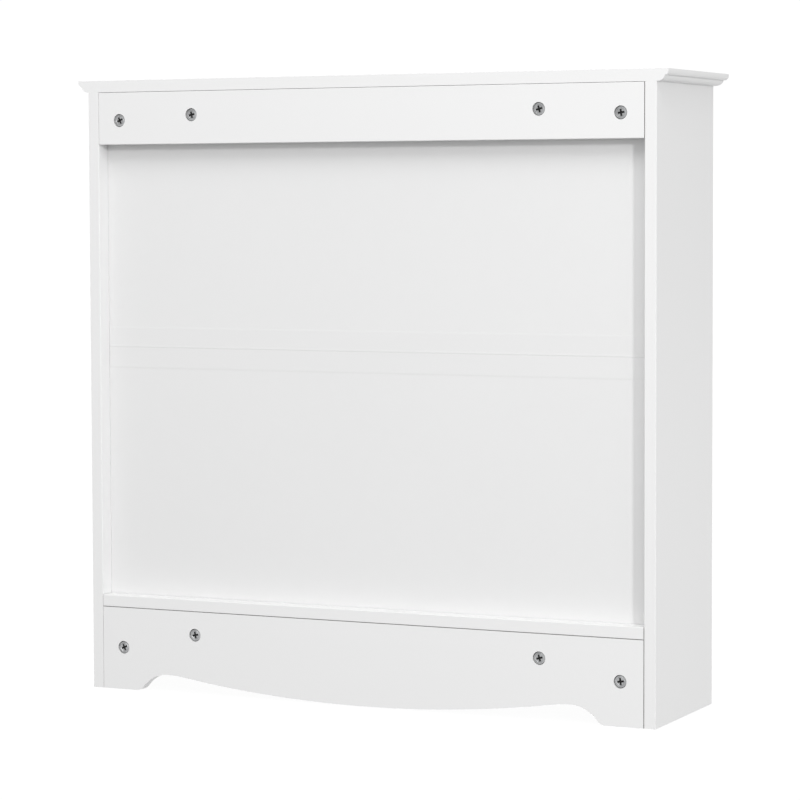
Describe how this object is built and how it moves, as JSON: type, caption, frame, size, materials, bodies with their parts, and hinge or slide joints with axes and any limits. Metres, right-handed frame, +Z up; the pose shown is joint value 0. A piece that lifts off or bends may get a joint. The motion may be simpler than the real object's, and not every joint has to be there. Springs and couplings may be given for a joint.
{
  "type": "bathroom wall cabinet",
  "caption": "Shallow white bathroom cabinet with a moulded cap, scalloped base rails, inset framed doors and a loose shelf, held with cam locks.",
  "frame": {"origin": "bottom centre of the whole cabinet, knobs included, on the plane of its feet", "axes": "+Z up, -Y towards the person in front of the doors, +Y towards the wall, +X to the right as seen from the front"},
  "size_m": [0.649, 0.188, 0.633],
  "materials": {
    "painted_board": "white satin paint on fibreboard",
    "painted_door": "white satin paint on fibreboard",
    "painted_hardboard": "white coated hardboard",
    "tape": "white paper tape",
    "zinc": "bright zinc die casting",
    "plated_steel": "zinc plated",
    "dowel_wood": "bare beech",
    "hinge_steel": "satin nickel plate",
    "pin_steel": "nickel plate",
    "catch_plastic": "white moulded plastic",
    "magnet": "sintered ferrite",
    "knob_metal": "satin nickel plate"
  },
  "bodies": {
    "cabinet": {"back_panel_lower": "painted_hardboard", "back_panel_upper": "painted_hardboard", "back_rail_bottom": "painted_board", "back_rail_top": "painted_board", "bottom_board": "painted_board", "cam_bolts": "plated_steel", "cam_locks_apron": "zinc", "cam_locks_back_bottom": "zinc", "cam_locks_back_top": "zinc", "cam_locks_sides": "zinc", "catch_housing": "catch_plastic", "catch_magnets": "magnet", "catch_screws": "plated_steel", "dowels": "dowel_wood", "fold_tape": "tape", "front_apron": "painted_board", "hinge_frame_leaves_left": "hinge_steel", "hinge_frame_leaves_right": "hinge_steel", "hinge_frame_screws_left": "plated_steel", "hinge_frame_screws_right": "plated_steel", "hinge_pins_left": "hinge_steel", "hinge_pins_right": "hinge_steel", "shelf": "painted_board", "shelf_pins": "pin_steel", "side_panel_left": "painted_board", "side_panel_right": "painted_board", "top_board": "painted_board"},
    "door_left": {"door_left_bottom_rail": "painted_door", "door_left_hinge_stile": "painted_door", "door_left_meeting_stile": "painted_door", "door_left_panel": "painted_door", "door_left_top_rail": "painted_door", "hinge_door_leaves_left": "hinge_steel", "hinge_door_screws_left": "plated_steel", "knob_left": "knob_metal", "knob_screw_left": "plated_steel", "strike_plate_left": "hinge_steel", "strike_screw_left": "plated_steel"},
    "door_right": {"door_right_bottom_rail": "painted_door", "door_right_hinge_stile": "painted_door", "door_right_meeting_stile": "painted_door", "door_right_panel": "painted_door", "door_right_top_rail": "painted_door", "hinge_door_leaves_right": "hinge_steel", "hinge_door_screws_right": "plated_steel", "knob_right": "knob_metal", "knob_screw_right": "plated_steel", "strike_plate_right": "hinge_steel", "strike_screw_right": "plated_steel"}
  },
  "joints": [
    {"name": "door_left_swing", "type": "hinge", "parent": "cabinet", "child": "door_left", "pos_m": [-0.2994, -0.0729, 0.3595], "axis": [0, 0, -1], "range_deg": [0, 170]},
    {"name": "door_right_swing", "type": "hinge", "parent": "cabinet", "child": "door_right", "pos_m": [0.2994, -0.0729, 0.3595], "axis": [0, 0, 1], "range_deg": [0, 170]}
  ]
}
